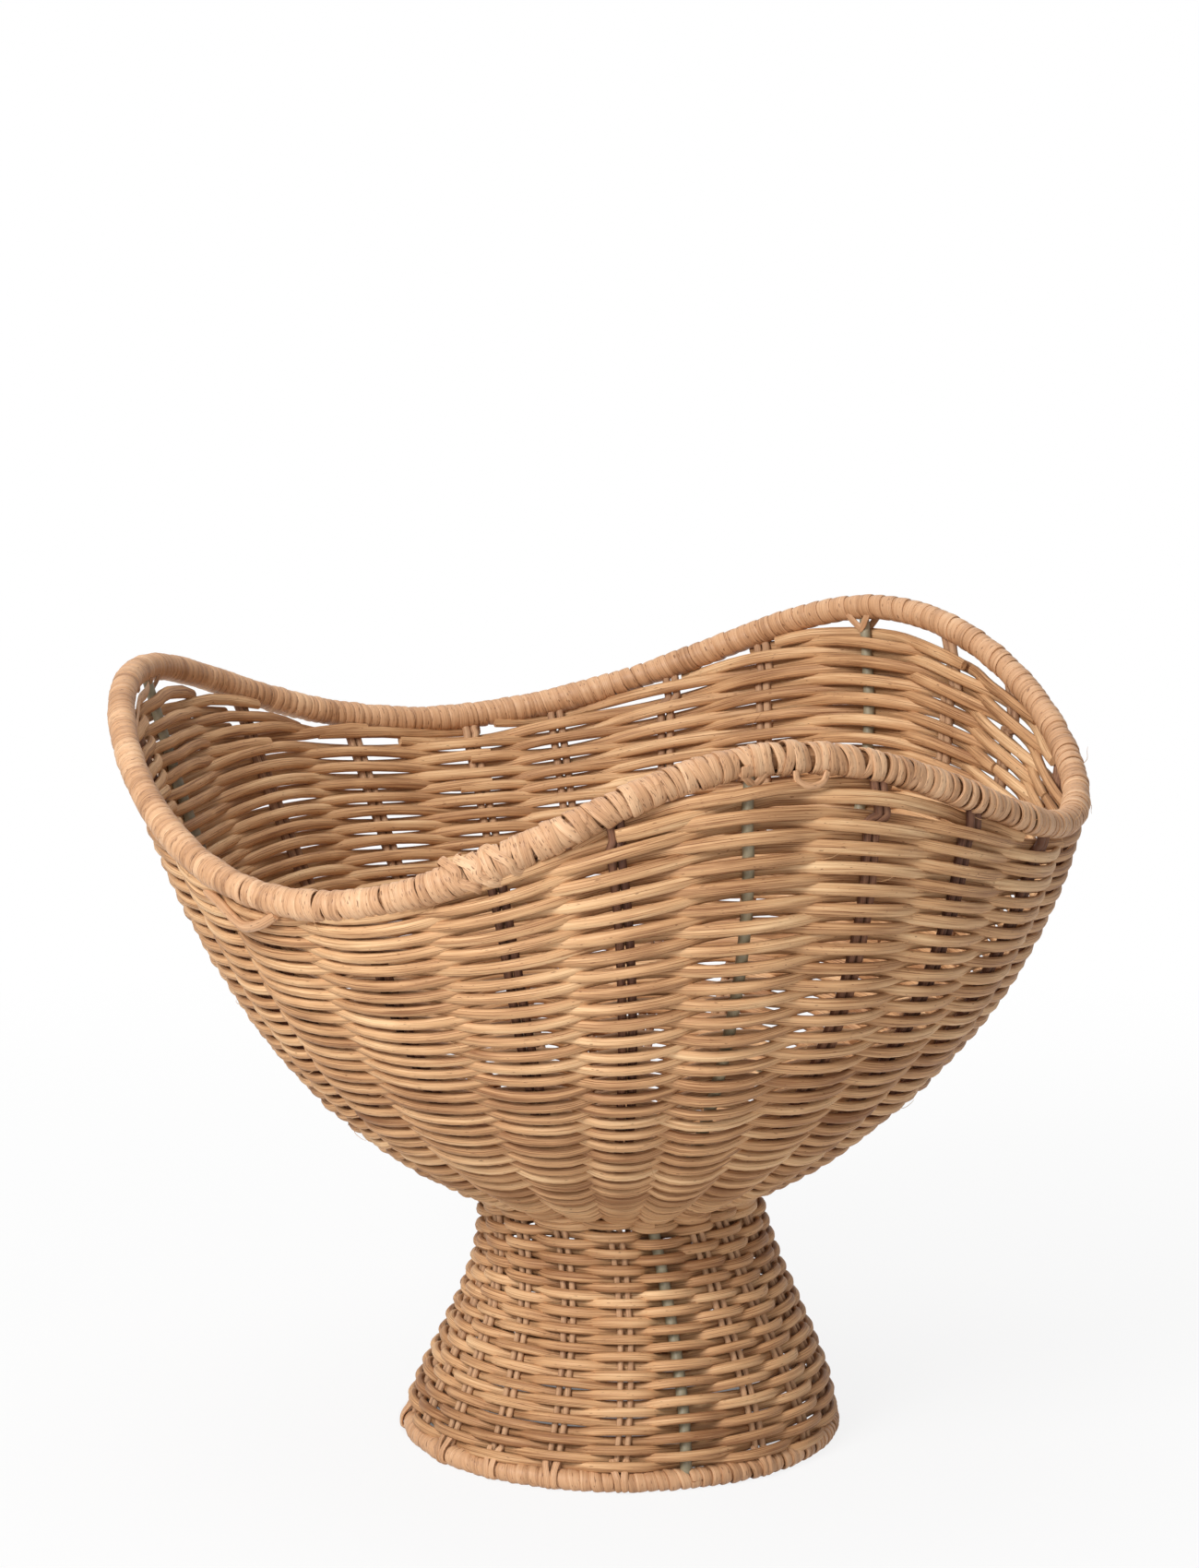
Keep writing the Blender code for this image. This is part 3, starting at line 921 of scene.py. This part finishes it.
rods = {
    "seed": 33,
    "footWidth": 2.4 * mm,
    "bowlWidth": 3.3 * mm,
    "footGap": 1.2 * mm,
    "bowlGap": 0.25 * mm,
    "footStations": (0.02, 1.36),
    "bowlStart": 1.5,
    "bowlEndDrop": 3.5 * mm,
    "endStation": 3.4,
    "samples": 60,
    "bends": 12,
    "alongBend": 0.15 * mm,
    "outBend": 0.1 * mm,
    "toneSpread": 0.05,
    "perPiece": 7,
    "ribWidth": 4.4 * mm,
    "ribSamples": 110,
    "footTone": 0.42,
    # how light the rods of the bowl are, from the rib in front towards +X
    "bowlTones": (0, -0.12, -0.2, -0.2, -0.1, 0.05, 0.25, 0.42, 0, 0.42, 0.38, 0.35, 0.32,
                  0.35, 0.15, 0, 0.05, 0.05, 0.0, -0.1, -0.2, -0.26, -0.26, -0.26),
}


def rodPair(bundle, ring, place, stations, width, gap, tone, source):
    station = np.linspace(*stations, rods["samples"])
    angle = ring["angle"](place, station)
    point, along, up, out = wallFrame(angle, station)
    climb = np.linspace(0, rods["bends"], rods["samples"])
    for side in (-1, 1):
        shift = side * (width + gap) / 2 + rods["alongBend"] * wobble(source, climb)
        path = point + along * shift[:, None] + out * (rods["outBend"] * wobble(source, climb))[:, None]
        bundle.strand(path, *sidesOf(path, out), width, width, tone + rods["toneSpread"] * source.normal(),
                      offset=grainStart(source))


def standRods():
    source = np.random.default_rng(rods["seed"])
    bundles = [Bundle() for rib in bowlRing["ribs"]]
    for place in range(bowlRing["count"]):
        if place in bowlRing["ribs"]:
            continue
        angle = bowlAngle(place, np.array([rods["endStation"]]))
        rise = (rimTop(angle) - rowHeight(angle, 1.0) - rods["bowlEndDrop"])[0]
        group = sum(place > rib for rib in bowlRing["ribs"]) - 1
        rodPair(bundles[group], bowlRing, place, (rods["bowlStart"], bowlTop + rise / centimetre),
                rods["bowlWidth"], rods["bowlGap"], rods["bowlTones"][place], source)
    for place in range(footRing["count"]):
        if place in footRing["ribs"]:
            continue
        group = sum(place > rib for rib in footRing["ribs"]) - 1
        rodPair(bundles[group], footRing, place, rods["footStations"],
                rods["footWidth"], rods["footGap"], rods["footTone"], source)
    for group, bundle in enumerate(bundles):
        first = rods["perPiece"] * group + 1
        names = [f"stake_{number:02d}" for number in range(first, first + rods["perPiece"])]
        bundle.piece(f"rodPairs{group + 1}", "stake_rattan", *names)


def standRibs():
    for rib, place in enumerate(bowlRing["ribs"]):
        station = np.linspace(0.0, bowlTop, rods["ribSamples"])
        low = footAngle(footRing["ribs"][rib], station)
        turn = np.clip(station - footTop, 0, 1)
        angle = low * (1 - turn) + bowlAngle(place, station) * turn
        point, along, up, out = wallFrame(angle, station)
        top = np.array([math.radians(places["bowlTop"][place])])
        point = np.concatenate([point, rimCentre(top)])
        out = np.concatenate([out, out[-1:]])
        bundle = Bundle()
        bundle.strand(point, *sidesOf(point, out), rods["ribWidth"], rods["ribWidth"], 0.0, sides=16)
        bundle.piece(f"steelRib{rib + 1}", "painted_steel", f"steel_rib_{rib + 1}")


def rimCentre(angle):
    return bowlPoint(angle, rimTop(angle))


def baseCentre(angle):
    return footPoint(angle, np.zeros_like(angle)) - outward(angle) * baseWrap["inset"]


standRods()
standRibs()
print("rods and ribs")

# Cane wound round the rim and the base. Each region gives degrees, the pitch and the outer
# radius in millimetres, and how rough the winding is.

rimWrap = {
    "seed": 51,
    "thickness": 1.4 * mm,
    "coreRadius": 4.0 * mm,
    "segments": 20,
    "squash": 1.0,
    "slope": 0.08,
    "regions": ((-103, 3.2, 5.2, 0.3), (-75, 3.3, 5.2, 0.35), (-45, 3.4, 5.4, 0.5),
                (-22, 3.3, 5.6, 0.6), (-12, 3.3, 6.5, 0.9), (-4, 3.6, 6.1, 0.8), (3, 3.8, 5.8, 0.7),
                (15, 3.7, 5.9, 0.8), (30, 3.4, 5.8, 0.8), (50, 3.1, 5.5, 0.7), (75, 3.4, 5.3, 0.4),
                (110, 4.8, 5.2, 0.25), (139, 6.4, 5.0, 0.1), (160, 5.6, 5.1, 0.15),
                (185, 4.2, 5.2, 0.3), (205, 3.9, 5.3, 0.4), (235, 3.8, 5.2, 0.3)),
}
baseWrap = {
    "seed": 52,
    "thickness": 1.5 * mm,
    "coreRadius": 2.7 * mm,
    "segments": 18,
    "squash": 0.95,
    "slope": 0.15,
    "inset": 0.4 * mm,
    "regions": ((0, 4.1, 3.95, 0.3), (120, 4.0, 3.95, 0.2), (240, 4.0, 3.95, 0.3)),
}
# How much a winding varies: smooth and, on top of that, rough
winding = {
    "pitch": (0.05, 0.12),
    "lump": (0.07, 0.3),
    "lean": (0.25, 0.8),
    "bend": (0.15, 0.5),
    "leastPitch": 2 * mm,
    "widthShare": 1.16,
    "widthSpread": 0.05,
    "toneSpread": 0.1,
    "roughSlope": 0.9,
    "power": 0.65,
    "coreTone": -0.4,
    "coreSamples": 80,
}


def ringFrame(centre, angle):
    along = unit(centre(angle + smallStep) - centre(angle - smallStep))
    away = squareTo(along, outward(angle))
    return centre(angle), along, away, np.cross(away, along)


def region(look, angle):
    stops = np.array(look["regions"])
    degrees = np.degrees(angle)
    return (np.interp(degrees, stops[:, 0], stops[:, column], period=360) for column in (1, 2, 3))


def varied(kind, rough):
    least, more = winding[kind]
    return least + more * rough


def windStrip(bundle, look, centre, start, end, source):
    # A strip wound from one angle to another; it changes turn by turn
    turnAngles = [start]
    while turnAngles[-1] < end:
        angle = np.array([turnAngles[-1]])
        length = np.linalg.norm(centre(angle + 0.01) - centre(angle)) / 0.01
        pitch, outer, rough = region(look, angle)
        step = pitch[0] * mm * (1 + varied("pitch", rough[0]) * source.normal())
        turnAngles.append(turnAngles[-1] + max(step, winding["leastPitch"]) / length)
    turns = len(turnAngles)
    knots = np.arange(turns)
    turn = np.arange((turns - 1) * look["segments"] + 1) / look["segments"]
    angle = np.interp(turn, knots, turnAngles)
    pitch, outer, rough = region(look, angle)
    point, along, away, up = ringFrame(centre, angle)

    def perTurn(size):
        return np.interp(turn, knots, source.normal(size=turns)) * size

    lump, lean, bend = (perTurn(1.0) * varied(kind, rough) * mm for kind in ("lump", "lean", "bend"))
    around = turn * math.tau
    rise = -np.sin(around)
    rise = np.where(rise < 0, rise * look["squash"], rise)
    radial = away * np.cos(around)[:, None] + up * rise[:, None]
    radius = outer * mm - look["thickness"] / 2 + lump
    path = point + radial * radius[:, None]
    path = path + along * (lean * np.sin(around) + bend * np.cos(around))[:, None]
    across, outwards = sidesOf(path, radial)
    width = pitch * mm * (winding["widthShare"] + perTurn(winding["widthSpread"]))
    # one edge of each turn lies over the turn before it
    slope = look["slope"] * (1 + winding["roughSlope"] * rough)[:, None]
    across, outwards = unit(across + outwards * slope), unit(outwards - across * slope)
    bundle.strand(path, across, outwards, width, look["thickness"], perTurn(winding["toneSpread"]),
                  offset=grainStart(source), sides=14, wear=rough, power=winding["power"])


def ringCore(bundle, look, centre, start, end):
    angle = np.linspace(start, end, winding["coreSamples"])
    point, along, away, up = ringFrame(centre, angle)
    bundle.strand(point, away, up, 2 * look["coreRadius"], 2 * look["coreRadius"] * look["squash"],
                  winding["coreTone"], sides=12)


def windRings():
    rings = (("rim", rimWrap, rimCentre, np.random.default_rng(rimWrap["seed"])),
             ("base", baseWrap, baseCentre, np.random.default_rng(baseWrap["seed"])))
    for rib in range(wall["ribs"]):
        start, end = (wall["ribAngle"] + math.tau * third / wall["ribs"] for third in (rib, rib + 1))
        for name, look, centre, source in rings:
            bundle = Bundle()
            windStrip(bundle, look, centre, start, end, source)
            ringCore(bundle, look, centre, start, end)
            bundle.settle()
            bundle.piece(f"{name}Wrap{rib + 1}", "cane_peel", f"{name}_binding_{rib + 1}")


windRings()
print("wound rings")

# Ties, loose ends and stray fibres


def smoothThrough(spots, count):
    # Points along a smooth curve through a few spots
    spots = np.asarray(spots, float)
    ends = np.concatenate([[2 * spots[0] - spots[1]], spots, [2 * spots[-1] - spots[-2]]])
    place = np.linspace(0, len(spots) - 1, count)
    low = np.minimum(place.astype(int), len(spots) - 2)
    part = (place - low)[:, None]
    return eased(part, *(ends[low + shift] for shift in range(4)))


def freeStrand(bundle, spots, facing, width, depth, tone, count=24, wear=0.0, offset=0.0, sides=10):
    # A strand on its own smooth route
    path = smoothThrough(spots, count)
    bundle.strand(path, *sidesOf(path, facing), width, depth, tone, offset=offset, wear=wear, sides=sides)


def ringSpot(centre, degrees, along, away, up):
    # A point by a ring: millimetres along it, out of it and above its centre
    sides = ringFrame(centre, np.array([math.radians(degrees)]))
    point, alongWay, awayWay, upWay = (side[0] for side in sides)
    return point + (alongWay * along + awayWay * away + upWay * up) * mm


def wallSpot(degrees, height, away):
    # A point by the bowl's wall: degrees at that height, millimetres up and out
    angle = np.array([math.radians(degrees)])
    return bowlPoint(angle, np.array([height * mm]))[0] + outward(angle)[0] * away * mm


# The route of a tie by its ring is in millimetres: along it, away from it and above its middle.
# At the base the place along it is a share of the tie's spread, and then two shifts.
ties = {
    "baseSize": (2.7 * mm, 1.3 * mm),
    "baseTone": 0.03,
    "baseRoute": ((0.75, 0, 0, -0.9, 8.2), (0.6, 0, 0, 1.6, 5.6), (0, 1.3, 0.6, 4.1, 2.2),
                  (0, 1.2, 1.0, 4.4, -1.4), (0, 1.1, 1.6, 2.4, -2.7)),
    "base": ((305.3, 3.4), (323.4, 3.0), (341.1, 3.4), (359.3, 3.6), (40.0, 3.4), (100, 3.2),
             (159, 3.0), (217.5, 3.4), (272.5, 3.0), (178.5, 3.0)),
    "rimSize": (3.0 * mm, 1.0 * mm),
    "rimTone": -0.06,
    "rimRoute": ((5.2, 3.9, -2.2), (3.6, 3.8, -4.4), (1.4, 3.1, -7.0), (-0.9, 2.8, -9.0)),
    "rim": (21.0, 137.0, 255.7),
}


def tieBase():
    bundle = Bundle()
    for number, (degrees, spread) in enumerate(ties["base"]):
        for side in (-1, 1):
            spots = [ringSpot(baseCentre, degrees, side * (spread * share + turn) + shift, away, up)
                     for share, turn, shift, away, up in ties["baseRoute"]]
            freeStrand(bundle, spots, facingOut(degrees), *ties["baseSize"], ties["baseTone"] * side,
                       offset=97.0 * number)
    bundle.settle()
    bundle.piece("baseTies", "cane_peel")


def tieRim():
    # Two ends of cane come down from the winding and cross over the rib
    bundle = Bundle()
    for degrees in ties["rim"]:
        for face in (-1, 1):
            for side in (-1, 1):
                spots = [ringSpot(rimCentre, degrees, side * along, face * away, up)
                         for along, away, up in ties["rimRoute"]]
                freeStrand(bundle, spots, facingOut(degrees) * face, *ties["rimSize"], ties["rimTone"],
                           offset=degrees)
    bundle.piece("rimTies", "cane_peel")


loose = {
    "seed": 77,
    "strips": (((259.5, -4.8, -5.4), (262.0, -5.4, -6.6), (266, -5.0, -6.2), (270.5, -5.4, -5.0)),
               ((267.5, -5.6, -5.8), (271, -5.8, -7.2), (276, -5.2, -6.0), (280, -4.6, -4.6))),
    "loops": (((-54.5, 231.0, 3.0), (-51.2, 228.1, 4.4), (-49.3, 224.6, 5.4), (-47.0, 222.0, 6.0),
               (-43.4, 224.8, 6.2), (-40.5, 229.3, 4.6)),),
    # crumpled turns in front: degrees, and the distance from the rim's middle
    "crumple": ((-17.4, -14.2, 6.9), (-16.0, -11.4, 7.5), (-14.4, -12.0, 6.8), (-12.8, -8.6, 7.1)),
    # a loop that hangs under the rim in front
    "hanging": ((26.1, 5.0, -3.6), (26.5, 5.3, -7.6), (28.1, 5.5, -9.2), (29.7, 5.2, -7.8),
                (30.3, 4.8, -3.8)),
    "crumpleSteps": 6,
    "crumpleTurn": (130, -34),
    "crumpleStray": (0.5, 0.3),
    "crumpleTone": 0.1,
    # width and depth, some with tone, samples and wear
    "stripSize": (4.8 * mm, 0.8 * mm, 0.34, 24, 0.2),
    "crumpleSize": (3.6 * mm, 1.2 * mm),
    "loopSize": (4.0 * mm, 3.4 * mm, 0.0),
    "hangingSize": (2.6 * mm, 1.6 * mm, -0.05, 24, 0.8),
    "hairs": 90,
    "hairWidth": (0.28 * mm, 0.35),
    "hairLength": (3, 11),
    "hairSamples": 12,
    "hairRoot": 2.2 * mm,
    "hairDepth": 1.2 * mm,
    "rimHairs": (10, 50),
    "rimHairTurn": (-2.4, 1.2),
    "rimHairReach": (4.6, 6.6),
    "wallStations": (2.1, 3.0),
    "outerShare": 0.7,
}


def looseEnds():
    source = np.random.default_rng(loose["seed"])
    bundle = Bundle()
    for strip in loose["strips"]:
        spots = [ringSpot(rimCentre, degrees, 0, away, up) for degrees, away, up in strip]
        freeStrand(bundle, spots, -facingOut(strip[1][0]), *loose["stripSize"])
    steps = loose["crumpleSteps"]
    start, turnStep = loose["crumpleTurn"]
    farStray, alongStray = loose["crumpleStray"]
    for first, last, reach in loose["crumple"]:
        spots = []
        for step in range(steps + 1):
            turn = math.radians(start + turnStep * step)
            far = reach + farStray * source.normal()
            degrees = first + (last - first) * step / steps + alongStray * source.normal()
            spots.append(ringSpot(rimCentre, degrees, 0, far * math.cos(turn), far * math.sin(turn)))
        facing = np.array(spots) - ringSpot(rimCentre, (first + last) / 2, 0, 0, 0)
        facing = smoothThrough(facing, 24)
        freeStrand(bundle, spots, facing, *loose["crumpleSize"], loose["crumpleTone"] * source.normal(),
                   wear=1.0)
    for loop in loose["loops"]:
        spots = [wallSpot(*spot) for spot in loop]
        freeStrand(bundle, spots, facingOut(loop[1][0]), *loose["loopSize"])
    spots = [ringSpot(rimCentre, degrees, 0, away, up) for degrees, away, up in loose["hanging"]]
    freeStrand(bundle, spots, facingOut(loose["hanging"][2][0]), *loose["hangingSize"])
    bundle.piece("looseCane", "cane_peel")


def growHairs():
    source = np.random.default_rng(loose["seed"] + 1)
    bundle = Bundle()
    for number in range(loose["hairs"]):
        if number % 3 == 0:
            # on the rim, mostly in front
            degrees = source.normal(*loose["rimHairs"])
            turn = source.uniform(*loose["rimHairTurn"])
            root, way = (ringSpot(rimCentre, degrees, 0, reach * math.cos(turn), reach * math.sin(turn))
                         for reach in loose["rimHairReach"])
            way = way - root
        else:
            place = source.uniform(0, bowlRing["count"])
            station = np.array([source.uniform(*loose["wallStations"])])
            angle = bowlAngle(np.array([place]), station)
            point, along, up, out = (side[0] for side in wallFrame(angle, station))
            face = 1 if source.uniform() < loose["outerShare"] else -1
            root, way = point + out * face * loose["hairRoot"], out * face
        way = unit(way)
        aside = squareTo(way, source.normal(size=3))
        length = source.uniform(*loose["hairLength"]) * mm
        # a hair leaves its strand and bends aside
        spots = [root - way * loose["hairDepth"], root + way * length * 0.25 + aside * length * 0.3,
                 root + way * length * 0.3 + aside * length * 0.75,
                 root + way * length * source.uniform(0.1, 0.4) + aside * length]
        width, endWidth = loose["hairWidth"]
        width = width * np.linspace(1, endWidth, loose["hairSamples"])
        freeStrand(bundle, spots, way + aside * 0.3, width, width, 0.1, count=loose["hairSamples"], sides=5)
    bundle.piece("strayFibres", "weaver_rattan")


tieBase()
tieRim()
looseEnds()
growHairs()
print("ties and loose ends")

# Woven floor of the bowl, on the waist ring

bowlFloor = {
    "seed": 88,
    "spokes": 24,
    "turns": 12,
    "reach": 49.6 * mm,
    "spokeSize": (2.6 * mm, 1.5 * mm),
    "spokeSamples": 24,
    "spokeTone": 0.02,
    "rowSize": (3.7 * mm, 1.9 * mm),
    "rowStart": 4 * mm,
    # the last turns lie against the edge
    "extraTurns": 0.8,
    "edgeGap": 1.9 * mm,
    "edgeStagger": 0.7 * mm,
    "samplesPerTurn": 168,
    "swing": 0.85 * mm,
    "fullSwingRadius": 20 * mm,
    "leastSwing": 0.35,
    "rowTone": 0.08,
}


def weaveFloor():
    source = np.random.default_rng(bowlFloor["seed"])
    low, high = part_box("bowl_floor")
    level = (low.z + high.z) / 2
    centre = np.array([(low.x + high.x) / 2, (low.y + high.y) / 2, level])
    upright = np.array([0.0, 0.0, 1.0])
    bundle = Bundle()
    for spoke in range(bowlFloor["spokes"] // 2):
        # each rod lies right across the floor
        angle = math.tau * (spoke + 0.5) / bowlFloor["spokes"]
        way = outward(np.array(angle))
        far = np.linspace(-bowlFloor["reach"], bowlFloor["reach"], bowlFloor["spokeSamples"])
        path = centre + way * far[:, None]
        side = np.broadcast_to(np.cross(upright, way), path.shape)
        bundle.strand(path, side, np.broadcast_to(upright, path.shape), *bowlFloor["spokeSize"],
                      bowlFloor["spokeTone"] * source.normal(),
                      offset=grainStart(source))
    for phase in (-1, 1):
        # two weavers chase each other outwards
        reach, first = bowlFloor["reach"], bowlFloor["rowStart"]
        last = bowlFloor["turns"] / 2 + bowlFloor["extraTurns"]
        turn = np.arange(0, last, 1 / bowlFloor["samplesPerTurn"])
        angle = turn * math.tau
        share = (turn * 2 + (phase + 1) / 2) / (bowlFloor["turns"] + 1)
        edge = reach - (bowlFloor["edgeGap"] - phase * bowlFloor["edgeStagger"])
        radius = np.minimum(first + (reach - first) * share, edge)
        swing = phase * np.cos(bowlFloor["spokes"] / 2 * (angle - math.pi / bowlFloor["spokes"]))
        swing = swing * np.clip(radius / bowlFloor["fullSwingRadius"], bowlFloor["leastSwing"], 1)
        path = centre + outward(angle) * radius[:, None] + upright * (swing * bowlFloor["swing"])[:, None]
        bundle.strand(path, *sidesOf(path, upright), *bowlFloor["rowSize"],
                      bowlFloor["rowTone"] * wobble(source, turn * 8),
                      offset=grainStart(source))
    bundle.piece("bowlFloor", "weaver_rattan", "bowl_floor")


weaveFloor()
print("floor of the bowl")

for node in ("rim_ring", "base_ring", "waist_ring"):
    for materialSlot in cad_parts[node].material_slots:
        materialSlot.material = finishes["painted_steel"]
